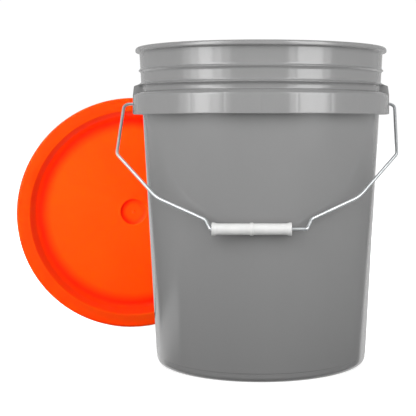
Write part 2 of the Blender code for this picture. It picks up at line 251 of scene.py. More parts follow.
# The surround, by the direction it is seen in, as X, Y and Z of a unit vector. AMBIENT is its radiance
# by Z. BEHIND is a brighter area straight behind the object, whose upper edge slants, and PATCH is a low
# one to the left. The pairs after their radiance are the ranges over which they begin or end. BACKDROP
# is what the camera sees.
AMBIENT = ((-1.0, 0.12), (-0.12, 0.12), (-0.02, 0.58), (0.30, 0.56), (0.80, 0.46), (1.0, 0.60))
BEHIND_LIGHT = (1.15, 0.50)
BEHIND_REACH = (0.80, 1.00)
BEHIND_SLANT = 1.05
BEHIND_EDGE = (0.93, 1.01)
PATCH_LIGHT = 1.10
PATCH_TOP = (-0.220, -0.230)
PATCH_LOW = (-0.268, -0.280)
PATCH_FRONT = (0.08, 0.14)
BACKDROP = 1.02

# Softboxes. Angles are in degrees as seen from the pail's axis, at the height that the light aims at.
# The strips stand side by side, as (azimuths, radiance), and make the bright bands on the pail. The fills
# are (name, azimuths, elevations, distance, radiance, height aimed at).
SOFTBOX_ELEVATIONS = (-3, 52)
SOFTBOX_DISTANCE = 1.8
SOFTBOX_STRIPS = (
    ((-74, -66), 1.2), ((-66, -58), 2.9), ((-58, -42), 5.1), ((-42, -34), 3.4), ((-34, -26), 1.5),
    ((24, 31), 2.3), ((31, 58), 4.4), ((58, 65), 2.2),
)
LIGHT_AIM_Z = 0.25
LOW_AIM_Z = 0.08
FILLS = (
    ("front_fill", (-30, 20), (5, 45), 1.0, 2.4, LIGHT_AIM_Z),
    ("back_fill", (150, 210), (5, 50), 1.5, 8.0, LIGHT_AIM_Z),
    ("low_left", (-95, -65), (-6, 16), 0.50, 3.0, LOW_AIM_Z),
    ("low_right", (65, 95), (-6, 16), 0.50, 3.0, LOW_AIM_Z),
)

# The floor: its shade as a light, near the object and far from it, over the distances of FLOOR_FADE,
# and to the camera its one shade and its glow, over the distances of GLOW_FADE.
FLOOR_R = 12.0
FLOOR_DROP = 0.0002
FLOOR_NEAR = 0.12
FLOOR_FAR = 0.90
FLOOR_FADE = (0.30, 0.80)
FLOOR_SHOWN = 0.50
FLOOR_GLOW = (0.60, 0.98)
GLOW_FADE = (0.40, 1.60)


# ---------------------------------------------------------------- geometry helpers


def wall_r(z):
    """The pail wall's outer radius at a height."""
    return WALL_R + WALL_TAPER * z


def arc(centre, radius, start, end, pieces):
    """Points (r, z) along an arc, from one angle in degrees to another."""
    points = []
    for i in range(pieces + 1):
        angle = radians(start + (end - start) * i / pieces)
        points.append((centre[0] + radius * cos(angle), centre[1] + radius * sin(angle)))
    return points


def add_object(name, data):
    """Puts a mesh, curve, light or camera into the scene."""
    obj = bpy.data.objects.new(name, data)
    bpy.context.scene.collection.objects.link(obj)
    return obj


def mesh_from(name, bm):
    """Ends a bmesh as a mesh."""
    mesh = bpy.data.meshes.new(name)
    bm.to_mesh(mesh)
    bm.free()
    return mesh


def turned(name, outline, closed=False, steps=TURN_STEPS):
    """A solid of revolution about Z, from an outline of (r, z) points down its outer side."""
    mesh = bpy.data.meshes.new(name)
    edges = [(i, i + 1) for i in range(len(outline) - 1)]
    if closed:
        edges.append((len(outline) - 1, 0))
    mesh.from_pydata([(r, 0.0, z) for r, z in outline], edges, [])
    obj = add_object(name, mesh)
    screw = obj.modifiers.new("Turn", "SCREW")
    screw.axis = "Z"
    screw.angle = 2 * pi
    screw.steps = steps
    screw.render_steps = steps
    screw.use_merge_vertices = True
    screw.merge_threshold = 0.00001
    return obj


def add_boolean(obj, operation, other):
    """Adds an exact Boolean with another object."""
    boolean = obj.modifiers.new(other.name, "BOOLEAN")
    boolean.operation = operation
    boolean.solver = "EXACT"
    boolean.object = other


def add_box(bm, size, place):
    """Adds a box of this size to a bmesh, centred on a place."""
    bmesh.ops.create_cube(bm, size=1.0, matrix=place @ Matrix.Diagonal((*size, 1.0)))


def apply_modifiers(obj):
    """Replaces an object's mesh with what its modifiers make of it."""
    bpy.context.view_layer.update()
    graph = bpy.context.evaluated_depsgraph_get()
    mesh = bpy.data.meshes.new_from_object(obj.evaluated_get(graph))
    mesh.name = obj.name
    obj.modifiers.clear()
    obj.data = mesh


def finish_piece(obj, material, body, node):
    """Shades a finished mesh, gives it its material, and puts it in its CAD node's place."""
    obj.data.shade_smooth()
    obj.data.set_sharp_from_angle(angle=SMOOTH_BELOW)
    obj.data.materials.clear()
    obj.data.materials.append(material)
    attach(obj, body)
    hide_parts(node)


def remove_helpers(objects):
    """Removes objects that only helped to make another."""
    for obj in objects:
        bpy.data.objects.remove(obj, do_unlink=True)


# ---------------------------------------------------------------- pail


def rib_points(z, r):
    """A rib around the neck: a hollow flare down to its tip, then a short slope back under it."""
    height = RIB_FLARE - RIB_TIP
    points = []
    for i in range(CURVE_STEPS + 1):
        share = i / CURVE_STEPS
        high = z + RIB_FLARE - height * share
        points.append((wall_r(high) + (r - wall_r(high)) * share**RIB_HOLLOW, high))
    points += arc((r - RIB_TIP, z), RIB_TIP, 30, -50, 4)
    root = z - RIB_UNDER
    points += [(wall_r(root) + NECK_FILLET, root + NECK_FILLET), (wall_r(root) + NECK_FILLET / 4, root)]
    return points + [(wall_r(low), low) for low in (root - NECK_FILLET, root - NECK_FILLET - HOLD)]


def bead_points():
    """The rim, from its inner lip over the rolled bead to the neck under it."""
    points = arc((MOUTH_R + LIP_ROUND, PAIL_HEIGHT - LIP_ROUND), LIP_ROUND, 180, 90, 6)
    points += arc((BEAD_R - BEAD_TOP_ROUND, PAIL_HEIGHT - BEAD_TOP_ROUND), BEAD_TOP_ROUND, 90, 0, 8)
    points += arc((BEAD_R - BEAD_LOW_ROUND, BEAD_UNDER + BEAD_LOW_ROUND), BEAD_LOW_ROUND, 0, -90, 5)
    neck = (wall_r(BEAD_UNDER) + NECK_FILLET, BEAD_UNDER - NECK_FILLET)
    held = neck[1] - HOLD
    return points + arc(neck, NECK_FILLET, 90, 180, 4) + [(wall_r(held), held)]


def skirt_points():
    """The skirt, from the shoulder's root on the neck, round its lip and up its inside."""
    inner = SKIRT_R - SKIRT_WALL
    root = [(wall_r(SHOULDER_TOP) + out, SHOULDER_TOP - down) for out, down in SHOULDER_FILLET]
    top = SHOULDER_Z - SKIRT_TOP_DROP
    shoulder = [*SHOULDER_HOLLOW]
    shoulder += arc((SKIRT_R - SKIRT_TOP_ROUND, top), SKIRT_TOP_ROUND, 50, 0, 5)
    shoulder.append((SKIRT_R, top - HOLD))
    lip = [(SKIRT_R, SKIRT_LOW + EDGE_ROUND + HOLD)]
    lip += arc((SKIRT_R - EDGE_ROUND, SKIRT_LOW + EDGE_ROUND), EDGE_ROUND, 0, -90, 4)
    lip += arc((inner + EDGE_ROUND / 2, SKIRT_LOW + EDGE_ROUND / 2), EDGE_ROUND / 2, -90, -180, 3)
    inside = arc((inner - SHOULDER_ROUND, SHOULDER_UNDER - SHOULDER_ROUND), SHOULDER_ROUND, 0, 90, 4)
    under = (wall_r(SHOULDER_UNDER) + SHOULDER_ROUND, SHOULDER_UNDER - SHOULDER_ROUND)
    return root + shoulder + lip + inside + arc(under, SHOULDER_ROUND, 90, 180, 4)


def pail_outline():
    """The pail's section, from the middle of its floor, up its inside and down its outside."""
    inner_corner = wall_r(FLOOR_TOP) - WALL
    inside = [(0.0, FLOOR_TOP + INNER_GATE_HEIGHT), (INNER_GATE_R, FLOOR_TOP + INNER_GATE_HEIGHT)]
    inside += [(INNER_GATE_R + INNER_GATE_HEIGHT, FLOOR_TOP)]
    inside += arc((inner_corner - CORNER_IN, FLOOR_TOP + CORNER_IN), CORNER_IN, -90, 0, 12)
    ribs = rib_points(*RIBS[0]) + rib_points(*RIBS[1])
    foot_r = wall_r(CORNER_OUT) - STEP
    heights = [SKIRT_LOW - WALL_LOOP * i for i in range(int((SKIRT_LOW - STEP_Z) / WALL_LOOP))]
    low = [(wall_r(z), z) for z in heights]
    low += [(wall_r(z), z) for z in (STEP_Z + STEP + HOLD, STEP_Z + STEP, STEP_Z)]
    low += [(wall_r(STEP_Z) - STEP, STEP_Z - STEP)]
    low += arc((foot_r - CORNER_OUT, CORNER_OUT), CORNER_OUT, 0, -90, 12)
    base = arc((FOOT_IN + EDGE_ROUND, EDGE_ROUND), EDGE_ROUND, -90, -180, 3)
    base += arc((FOOT_IN - EDGE_ROUND, FLOOR_UNDER - EDGE_ROUND), EDGE_ROUND, 0, 90, 3)
    base += arc((PAD_R + EDGE_ROUND, FLOOR_UNDER - EDGE_ROUND), EDGE_ROUND, 90, 180, 3)
    base += arc((PAD_R - EDGE_ROUND, EDGE_ROUND), EDGE_ROUND, 0, -90, 3)
    gate = [(GATE_R, 0.0), (GATE_R - GATE_SLOPE, GATE_DEPTH), *GATE_STUB]
    return inside + bead_points() + ribs + skirt_points() + low + base + gate


def ear_section():
    """The section of an ear, from inside the pail's wall out to its face."""
    top = [(wall_r(EAR_TOP) - OVERLAP, EAR_TOP)]
    top += arc(EAR_TOP_CENTRE, EAR_TOP_ROUND, 90, 66, 2)
    face = [*arc(EAR_FACE_CENTRE, EAR_FACE_ROUND, 62, 14, 4), (EAR_R, SHOULDER_Z)]
    low = arc((EAR_R - EDGE_ROUND, EAR_LOW + EDGE_ROUND), EDGE_ROUND, 0, -90, 4)
    return top + face + low + [(wall_r(EAR_LOW) - OVERLAP, EAR_LOW)]


def pocket_section():
    """The section of the pocket behind an ear's outer wall, down past the skirt's lower edge."""
    outer = EAR_R - EAR_WALL
    return [
        (wall_r(POCKET_TOP) + TOUCH_GAP, POCKET_TOP),
        (outer - SHOULDER_ROUND, POCKET_TOP),
        (outer, SHOULDER_UNDER),
        (outer, POCKET_LOW),
        (wall_r(POCKET_LOW) + TOUCH_GAP, POCKET_LOW),
    ]


def ear_solid(name, section, half_width, edge_round):
    """Both ears' share of a ring: the ring of this section, kept only within the ears' width."""
    across = 2 * (EAR_R + EAR_WALL)
    bm = bmesh.new()
    add_box(bm, (across, 2 * half_width, across), Matrix.Translation((0.0, 0.0, PIVOT_Z)))
    slab = add_object(name + "_slab", mesh_from(name + "_slab", bm))
    ring = turned(name, section, closed=True)
    add_boolean(ring, "INTERSECT", slab)
    if edge_round:
        bevel = ring.modifiers.new("Edges", "BEVEL")
        bevel.width = edge_round
        bevel.segments = EDGE_STEPS
        bevel.limit_method = "ANGLE"
        bevel.angle_limit = BEVEL_ABOVE
    apply_modifiers(ring)
    remove_helpers([slab])
    return ring


def gussets():
    """Upright webs between the skirt and the wall, everywhere but in the ears."""
    low = SKIRT_LOW + GUSSET_RISE
    high = SHOULDER_UNDER + OVERLAP
    near = wall_r(low) - OVERLAP
    far = SKIRT_R - SKIRT_WALL + OVERLAP
    bm = bmesh.new()
    for i in range(round(2 * pi / GUSSET_STEP)):
        angle = i * GUSSET_STEP
        if abs(sin(angle)) * near < EAR_HALF_WIDTH:
            continue
        middle = Matrix.Translation(((near + far) / 2, 0.0, (low + high) / 2))
        add_box(bm, (far - near, GUSSET_WIDTH, high - low), Matrix.Rotation(angle, 4, "Z") @ middle)
    return add_object("gussets", mesh_from("gussets", bm))


def base_ribs():
    """Radial ribs under the floor, from the centre pad to the foot ring."""
    near = PAD_R - 2 * OVERLAP
    far = FOOT_IN + 2 * OVERLAP
    high = FLOOR_UNDER + OVERLAP
    bm = bmesh.new()
    for i in range(BASE_RIBS):
        turn = Matrix.Rotation(2 * pi * (i + 0.5) / BASE_RIBS, 4, "Z")
        middle = Matrix.Translation(((near + far) / 2, 0.0, (BASE_RIB_LIFT + high) / 2))
        add_box(bm, (far - near, BASE_RIB_WIDTH, high - BASE_RIB_LIFT), turn @ middle)
    return add_object("base_ribs", mesh_from("base_ribs", bm))


def ear_holes():
    """The two holes, on the bail's axis, through the ears' outer walls."""
    bm = bmesh.new()
    for side in (-1, 1):
        middle = Matrix.Translation((side * (EAR_R - EAR_WALL / 2), 0.0, PIVOT_Z))
        bmesh.ops.create_cone(
            bm, cap_ends=True, segments=HOLE_STEPS, radius1=EAR_HOLE_R, radius2=EAR_HOLE_R,
            depth=EAR_HOLE_DEPTH, matrix=middle @ Matrix.Rotation(pi / 2, 4, "Y"),
        )
    return add_object("ear_holes", mesh_from("ear_holes", bm))


def make_pail(material):
    """The pail: one moulding with its rim, ribs, skirt, gussets, ears and ribbed base."""
    pail = turned("pail_moulding", pail_outline())
    tools = [
        ("UNION", ear_solid("ears", ear_section(), EAR_HALF_WIDTH, EAR_EDGE_ROUND)),
        ("UNION", gussets()),
        ("UNION", base_ribs()),
        ("DIFFERENCE", ear_solid("ear_pockets", pocket_section(), POCKET_HALF_WIDTH, 0.0)),
        ("DIFFERENCE", ear_holes()),
    ]
    for operation, tool in tools:
        add_boolean(pail, operation, tool)
    apply_modifiers(pail)
    remove_helpers(tool for operation, tool in tools)
    finish_piece(pail, material, "pail", "bucket_body")


# ---------------------------------------------------------------- bail and grip


def rest_angle():
    """How far the bail hangs forward of straight down, where its grip meets the sloping wall."""
    clear = (GRIP_RING_R + GRIP_GAP) * hypot(1.0, WALL_TAPER)
    reach = (wall_r(PIVOT_Z) + clear) / (BAIL_REACH * hypot(1.0, WALL_TAPER))
    return asin(reach) - atan(WALL_TAPER)


def rounded(before, corner, after, radius):
    """Points along the bend that replaces a corner."""
    to_before = (before - corner).normalized()
    to_after = (after - corner).normalized()
    half = to_before.angle(to_after) / 2
    centre = corner + (to_before + to_after).normalized() * (radius / sin(half))
    start = corner + to_before * (radius / tan(half)) - centre
    end = corner + to_after * (radius / tan(half)) - centre
    turn = start.angle(end)
    points = []
    for i in range(BEND_STEPS + 1):
        share = i / BEND_STEPS
        points.append(centre + (start * sin(turn * (1 - share)) + end * sin(turn * share)) / sin(turn))
    return points


def bail_side(corners):
    """One side of the bail, from its upset head to the grip, as (x, distance from the pivot, radius)."""
    route = []
    for angle in HEAD_DOME_ANGLES:
        route.append((HEAD_INNER + HEAD_DOME * (1 - cos(angle)), 0.0, HEAD_R * sin(angle)))
    route += [
        (HEAD_OUTER - HEAD_EDGE, 0.0, HEAD_R),
        (HEAD_OUTER, 0.0, HEAD_EDGE_R),
        (HEAD_OUTER + HEAD_EDGE, 0.0, WIRE_R),
    ]
    end = Vector((HEAD_OUTER, 0.0))
    middle = Vector((0.0, BAIL_REACH))
    bends = [end] + [Vector(corner[:2]) for corner in corners] + [middle]
    for i, corner in enumerate(corners):
        bend = rounded(bends[i], bends[i + 1], bends[i + 2], radius=corner[2])
        route += [(point.x, point.y, WIRE_R) for point in bend]
    return route


def make_bail(material, pivot):
    """The bail: one bent wire with an upset head in each ear."""
    route = bail_side(BAIL_RIGHT)
    route += [(-x, reach, r) for x, reach, r in reversed(bail_side(BAIL_LEFT))]
    curve = bpy.data.curves.new("bail_rod", "CURVE")
    curve.dimensions = "3D"
    curve.bevel_depth = WIRE_R
    curve.bevel_resolution = WIRE_STEPS
    curve.use_fill_caps = True
    spline = curve.splines.new("POLY")
    spline.points.add(len(route) - 1)
    for point, (x, reach, r) in zip(spline.points, route):
        point.co = (x, 0.0, -reach, 1.0)
        point.radius = r / WIRE_R
    bail = add_object("bail_rod", curve)
    bpy.context.view_layer.update()
    mesh = bpy.data.meshes.new_from_object(bail.evaluated_get(bpy.context.evaluated_depsgraph_get()))
    bpy.data.objects.remove(bail)
    bail = add_object("bail_rod", mesh)
    hung = Matrix.Rotation(-rest_angle(), 4, "X")
    mesh.transform(Matrix.Translation((BAIL_PLAY, pivot.y, pivot.z)) @ hung)
    finish_piece(bail, material, "bail", "bail_wire")


def grip_outline():
    """The grip's section, from one end face, along its side, and back through its bore."""
    half = GRIP_LENGTH / 2
    flare_start = half - GRIP_COLLAR_LENGTH
    flare_length = GRIP_FLARE_LENGTH - GRIP_COLLAR_LENGTH
    side = arc((GRIP_END_R - EDGE_ROUND, half - EDGE_ROUND), EDGE_ROUND, 90, 0, 5)
    for i in range(CURVE_STEPS + 1):
        share = i / CURVE_STEPS
        blend = share * share * (3 - 2 * share)
        side.append((GRIP_END_R + (GRIP_R - GRIP_END_R) * blend, flare_start - flare_length * share))
    side += GRIP_RING_FOOT
    side += arc((GRIP_RING_R - GRIP_RING_ROUND, GRIP_RING_FACE), GRIP_RING_ROUND, 70, 0, 4)
    bore = [(GRIP_BORE_R + GRIP_LEAD, -half), (GRIP_BORE_R, GRIP_LEAD - half)]
    bore += [(GRIP_BORE_R, half - GRIP_LEAD), (GRIP_BORE_R + GRIP_LEAD, half)]
    return side + [(r, -z) for r, z in reversed(side)] + bore


def add_seams(mesh):
    """Raises a fine parting line along both sides of the grip, where its mould halves met."""
    for vertex in mesh.vertices:
        r = hypot(vertex.co.x, vertex.co.y)
        if r > GRIP_R - TOUCH_GAP:
            near = abs(vertex.co.y) / r
            lift = GRIP_SEAM * max(0.0, 1 - near / GRIP_SEAM_WIDTH)
            vertex.co.x *= 1 + lift / r


def make_grip(material):
    """The grip: a hollow roller, flared at its ends and ringed at its middle."""
    grip = turned("grip_roller", grip_outline(), closed=True, steps=GRIP_STEPS)
    apply_modifiers(grip)
    add_seams(grip.data)
    low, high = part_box("bail_grip")
    grip.data.transform(Matrix.Translation((low + high) / 2) @ Matrix.Rotation(pi / 2, 4, "Y"))
    finish_piece(grip, material, "grip", "bail_grip")


# ---------------------------------------------------------------- lid and gasket


def lid_outline():
    """The lid's section, from the middle of its face, out to its edge and back under it."""
    panel = -LID_RECESS
    dimple = panel - DIMPLE_DEPTH
    slope = tan(radians(RECESS_DRAFT))
    foot_z = panel + RECESS_FILLET * (1 - sin(radians(RECESS_DRAFT)))
    foot_r = RECESS_R - RECESS_LIP - slope * (-RECESS_LIP - foot_z)
    centre = (foot_r - RECESS_FILLET * cos(radians(RECESS_DRAFT)), panel + RECESS_FILLET)
    cap_r = (NUB_R**2 + NUB_HEIGHT**2) / (2 * NUB_HEIGHT)
    face = [(0.0, dimple + NUB_HEIGHT)]
    face += arc((0.0, dimple + NUB_HEIGHT - cap_r), cap_r, *NUB_ARC, 6)
    face += [(NUB_R + NUB_FOOT, dimple)]
    hollow = DIMPLE_DEPTH / (1 - cos(radians(DIMPLE_SIDE)))
    hollow_r = DIMPLE_R - DIMPLE_LIP - hollow * sin(radians(DIMPLE_SIDE))
    face += arc((hollow_r, dimple + hollow), hollow, -90, DIMPLE_SIDE - 90, 8)
    face += [(DIMPLE_R + out, panel + up) for out, up in DIMPLE_RING]
    near = face[-1][0]
    far = centre[0] - PANEL_FLAT
    for i in range(1, PANEL_STEPS):
        share = i / PANEL_STEPS
        face.append((near + (far - near) * share, panel + PANEL_CROWN * sin(pi * share)))
    face += arc(centre, RECESS_FILLET, -90, -RECESS_DRAFT, 14)
    lip = 2 * RECESS_LIP
    face.append((RECESS_R - lip * slope - RECESS_LIP_SET, -lip))
    face += [(RECESS_R + out, z) for out, z in RECESS_EDGE]
    edge = arc((LID_R - LID_EDGE_ROUND, -LID_EDGE_ROUND), LID_EDGE_ROUND, 90, 0, 10)
    edge += arc((LID_R - EDGE_ROUND, EDGE_ROUND - LID_DEPTH), EDGE_ROUND, 0, -90, 4)
    inner = LID_R - LID_WALL
    edge += arc((inner + EDGE_ROUND, EDGE_ROUND - LID_DEPTH), EDGE_ROUND, -90, -180, 4)
    snap_low = (inner, SNAP_Z - SNAP_HALF - SNAP_LEAD)
    snap_high = (CHANNEL_R, SNAP_Z + SNAP_HALF + SNAP_BACK)
    bead = arc((SNAP_R + SNAP_HALF, SNAP_Z), SNAP_HALF, -120, -240, 6)
    channel = arc((CHANNEL_R - SHOULDER_ROUND, -LID_WALL - SHOULDER_ROUND), SHOULDER_ROUND, 0, 90, 5)
    channel += arc((PLUG_R + EDGE_ROUND, -LID_WALL - EDGE_ROUND), EDGE_ROUND, 90, 180, 3)
    plug = arc(centre, RECESS_FILLET + LID_WALL, -RECESS_DRAFT, -90, 14)
    plug_foot_r, plug_foot_z = plug[0]
    channel.append((PLUG_R, plug_foot_z + (PLUG_R - plug_foot_r) / slope))
    under = [
        (DIMPLE_R + DIMPLE_UNDER, panel - LID_WALL),
        (DIMPLE_FLOOR_R + DIMPLE_UNDER, dimple - LID_WALL),
        (0.0, dimple - LID_WALL),
    ]
    return face + edge + [snap_low] + bead + [snap_high] + channel + plug + under


def lid_place(lid):
    """The lid's place: turned to stand on its edge, with its box's centre on the CAD lid's."""
    turn = Matrix.Rotation(LID_TURN, 4, "Z") @ Matrix.Rotation(pi / 2, 4, "X")
    points = [turn @ vertex.co for vertex in lid.data.vertices]
    own = [(min(axis) + max(axis)) / 2 for axis in zip(*points)]
    low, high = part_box("lid")
    return Matrix.Translation((low + high) / 2 - Vector(own)) @ turn


def make_lid():
    """The lid: its recessed panel, ring, skirt, snap bead, rim channel and plug.

    It gives no orange light to the pail and doesn't show in the pail's gloss.
    """
    lid = turned("lid_moulding", lid_outline())
    apply_modifiers(lid)
    place = lid_place(lid)
    lid.data.transform(place)
    finish_piece(lid, lid_material(place), "loose_lid", "lid")
    lid.visible_diffuse = False
    lid.visible_glossy = False
    return place


def make_gasket(material, place):
    """The gasket: a flat ring with rounded edges in the top of the lid's channel."""
    top = -LID_WALL - TOUCH_GAP
    low = top - GASKET_DEPTH
    outline = arc((GASKET_OUT - GASKET_ROUND, top - GASKET_ROUND), GASKET_ROUND, 90, 0, 4)
    outline += arc((GASKET_OUT - GASKET_ROUND, low + GASKET_ROUND), GASKET_ROUND, 0, -90, 4)
    outline += arc((GASKET_IN + GASKET_ROUND, low + GASKET_ROUND), GASKET_ROUND, -90, -180, 4)
    outline += arc((GASKET_IN + GASKET_ROUND, top - GASKET_ROUND), GASKET_ROUND, 180, 90, 4)
    gasket = turned("gasket_ring", outline, closed=True)
    apply_modifiers(gasket)
    gasket.data.transform(place)
    finish_piece(gasket, material, "loose_lid", "lid_gasket")


# ---------------------------------------------------------------- materials


class Nodes:
    """A short way to write the node tree of a new material, or of a world."""

    def __init__(self, name="", world=None):
        if world:
            self.tree = world.node_tree
            return
        self.material = bpy.data.materials.new(name)
        self.material.use_nodes = True
        self.tree = self.material.node_tree
        self.shader = self.tree.nodes["Principled BSDF"]

    def add(self, kind, inputs=None, **settings):
        """Adds a node, with its settings and the values or links of its inputs."""
        node = self.tree.nodes.new(kind)
        for name, value in settings.items():
            setattr(node, name, value)
        for name, value in (inputs or {}).items():
            self.set(node.inputs[name], value)
        return node

    def set(self, socket, value):
        """Gives a socket a value, or links another node's output to it."""
        if isinstance(value, bpy.types.NodeSocket):
            self.tree.links.new(value, socket)
        else:
            socket.default_value = value

    def math(self, operation, *values):
        """The result of a Math node."""
        node = self.add("ShaderNodeMath", operation=operation)
        for socket, value in zip(node.inputs, values):
            self.set(socket, value)
        return node.outputs[0]

    def product(self, *values):
        """Multiplies two or more values together."""
        result = values[0]
        for value in values[1:]:
            result = self.math("MULTIPLY", result, value)
        return result

    def average(self, first, second, share=0.5):
        """Mixes two values, with this share of the first."""
        return self.math("ADD", self.product(first, share), self.product(second, 1.0 - share))

    def place(self, frame=None):
        """Object coordinates, in a frame of their own if one is given."""
        coordinates = self.add("ShaderNodeTexCoord").outputs["Object"]
        if not frame:
            return coordinates
        inputs = {"Vector": coordinates, "Location": frame.translation, "Rotation": frame.to_euler()}
        return self.add("ShaderNodeMapping", inputs, vector_type="TEXTURE").outputs["Vector"]

    def split(self, vector):
        """The X, Y and Z of a vector."""
        return self.add("ShaderNodeSeparateXYZ", {"Vector": vector}).outputs

    def noise(self, vector, scale, detail=2.0, roughness=0.5):
        """Noise around 0.5, with its scale in waves per unit of the coordinates."""
        inputs = {"Vector": vector, "Scale": scale, "Detail": detail, "Roughness": roughness}
        return self.add("ShaderNodeTexNoise", inputs).outputs["Fac"]

    def stretched(self, vector, scale):
        """Coordinates scaled differently along X, Y and Z, for a noise with a direction."""
        return self.add("ShaderNodeMapping", {"Vector": vector, "Scale": scale}).outputs["Vector"]

    def span(self, value, low, high, from_low=0.3, from_high=0.7):
        """Goes from low to high as the value crosses a range, which by default suits a noise."""
        inputs = {"From Min": from_low, "From Max": from_high, "To Min": low, "To Max": high}
        return self.add("ShaderNodeMapRange", {"Value": value, **inputs}).outputs["Result"]

    def band(self, value, rise, fall, peak=1.0):
        """Rises from 0 to the peak over one range of the value, and falls back over another."""
        return self.product(self.span(value, 0.0, peak, *rise), self.span(value, 1.0, 0.0, *fall))

    def tint(self, factor, dark, light):
        """Mixes two colours, each a tuple or another node's output."""
        node = self.add("ShaderNodeMix", {"Factor": factor}, data_type="RGBA")
        for name, colour in (("A", dark), ("B", light)):
            self.set(node.inputs[name], (*colour, 1.0) if isinstance(colour, tuple) else colour)
        return node.outputs["Result"]

    def bump(self, layers):
        """Stacks (height, strength, distance) layers into one normal."""
        normal = None
        for height, strength, distance in layers:
            inputs = {"Height": height, "Strength": strength, "Distance": distance}
            if normal is not None:
                inputs["Normal"] = normal
            normal = self.add("ShaderNodeBump", inputs).outputs["Normal"]
        self.set(self.shader.inputs["Normal"], normal)

    def finish(self, **inputs):
        """Sets the shader's inputs, and returns the material."""
        for name, value in inputs.items():
            self.set(self.shader.inputs[name.replace("_", " ")], value)
        return self.material


def pail_material():
    """Grey moulded polyethylene: mottled pigment, satin skin, and sink lines over the skirt's gussets."""
    nodes = Nodes("pail_polyethylene")
    where = nodes.place()
    xyz = nodes.split(where)
    broad = nodes.noise(nodes.stretched(where, (1.0, 1.0, 0.35)), 9.0, 3.0)
    fine = nodes.noise(where, 700.0, 2.0)
    mottle = nodes.span(nodes.average(broad, fine, 0.8), 0.0, 1.0)
    colour = nodes.tint(mottle, (0.134, 0.134, 0.134), (0.146, 0.146, 0.146))
    smear = nodes.noise(nodes.stretched(where, (26.0, 26.0, 6.0)), 1.0, 4.0, 0.6)
    roughness = nodes.span(smear, 0.11, 0.16)
    turn = nodes.math("ADD", nodes.math("ARCTAN2", xyz["X"], xyz["Y"]), 2 * pi)
    from_gusset = nodes.math("PINGPONG", turn, GUSSET_STEP / 2)
    sink = nodes.math("SMOOTH_MIN", nodes.math("DIVIDE", from_gusset, SINK_WIDTH), 1.0, 0.4)
    above = nodes.math("GREATER_THAN", xyz["Z"], SKIRT_LOW)
    below = nodes.math("LESS_THAN", xyz["Z"], SHOULDER_Z)
    orange_peel = nodes.noise(where, 420.0, 3.0, 0.6)
    waves = nodes.noise(nodes.stretched(where, (1.0, 1.0, 0.4)), 34.0, 1.0)
    nodes.bump([
        (waves, 1.0, 0.00002),
        (nodes.product(sink, nodes.product(above, below)), 1.0, 0.00010),
        (orange_peel, 0.30, 0.00003),
    ])
    return nodes.finish(Base_Color=colour, Roughness=roughness, IOR=1.54, Specular_IOR_Level=0.60)


def lid_material(place):
    """Orange moulded polyethylene, with faint flow marks from the gate at its centre.

    The orange is deepened by painted shade where the real lid is shaded and little light gets through the
    moulding:
    a painted shadow on one side of the dimple, and painted shade at the foot and on the slope of the
    recess.
    """
    nodes = Nodes("lid_polyethylene")
    where = nodes.place(place)
    xyz = nodes.split(where)
    squares = [nodes.math("POWER", xyz[axis], 2.0) for axis in ("X", "Y")]
    radius = nodes.math("SQRT", nodes.math("ADD", *squares))
    turn = nodes.math("ARCTAN2", xyz["X"], xyz["Y"])
    around = {"X": nodes.math("SINE", turn), "Y": nodes.math("COSINE", turn)}
    around["Z"] = nodes.product(radius, 6.0)
    flow = nodes.noise(nodes.add("ShaderNodeCombineXYZ", around).outputs["Vector"], 3.5, 4.0, 0.6)
    cloud = nodes.noise(where, 16.0, 3.0)
    mottle = nodes.span(nodes.average(flow, cloud), 0.0, 1.0)
    colour = nodes.tint(mottle, (0.95, 0.078, 0.001), (0.97, 0.092, 0.001))
    # Painted shadow in the dimple, on one side only.
    shadow_side = nodes.span(xyz["X"], 1.0, 0.30, *DIMPLE_SHADOW_SIDE)
    dimple = nodes.product(nodes.band(radius, *DIMPLE_PAINTED_SHADOW), shadow_side)
    colour = nodes.tint(dimple, colour, (0.80, 0.008, 0.0005))
    # Painted shade at the foot of the recess.
    colour = nodes.tint(nodes.band(radius, *FOOT_PAINTED_SHADE, peak=0.9), colour, (1.00, 0.008, 0.0002))
    # Painted shade on the slope of the recess.
    colour = nodes.tint(nodes.band(radius, *SLOPE_PAINTED_SHADE), colour, (1.00, 0.030, 0.0001))
    colour = nodes.tint(nodes.span(radius, 0.0, 1.0, *RING_START), colour, (0.93, 0.060, 0.0008))
    roughness = nodes.span(nodes.noise(where, 30.0, 4.0, 0.6), 0.30, 0.42)
    nodes.bump([
        (nodes.noise(where, 28.0, 1.0), 1.0, 0.00012),
        (nodes.noise(where, 500.0, 3.0, 0.6), 0.3, 0.00004),
    ])
    return nodes.finish(
        Base_Color=colour, Roughness=roughness, IOR=1.54, Specular_IOR_Level=0.07, Subsurface_Weight=0.85,
        Subsurface_Radius=(1.0, 0.10, 0.03), Subsurface_Scale=0.005,
    )


def wire_material():
    """Galvanised steel wire: drawn lines along it, zinc mottling and small dull spots."""
    nodes = Nodes("galvanised_steel")
    where = nodes.place()
    zinc = nodes.noise(where, 260.0, 3.0, 0.6)
    colour = nodes.tint(nodes.span(zinc, 0.0, 1.0), (0.54, 0.56, 0.57), (0.64, 0.66, 0.67))
    roughness = nodes.span(nodes.noise(where, 120.0, 3.0, 0.5), 0.42, 0.52)
    nodes.bump([
        (nodes.noise(nodes.stretched(where, (150.0, 900.0, 900.0)), 1.0, 2.0), 0.35, 0.00006),
        (zinc, 0.25, 0.00008),
    ])
    return nodes.finish(Base_Color=colour, Roughness=roughness, Metallic=1.0)


def grip_material():
    """White moulded plastic with a soft gloss and the faint handling marks of a new grip."""
    nodes = Nodes("grip_plastic")
    where = nodes.place()
    cloud = nodes.noise(where, 90.0, 3.0)
    colour = nodes.tint(nodes.span(cloud, 0.0, 1.0), (0.38, 0.38, 0.376), (0.42, 0.42, 0.416))
    roughness = nodes.span(nodes.noise(where, 300.0, 3.0, 0.6), 0.30, 0.40)
    nodes.bump([(nodes.noise(where, 900.0, 2.0), 0.25, 0.00003)])
    return nodes.finish(Base_Color=colour, Roughness=roughness, IOR=1.50)


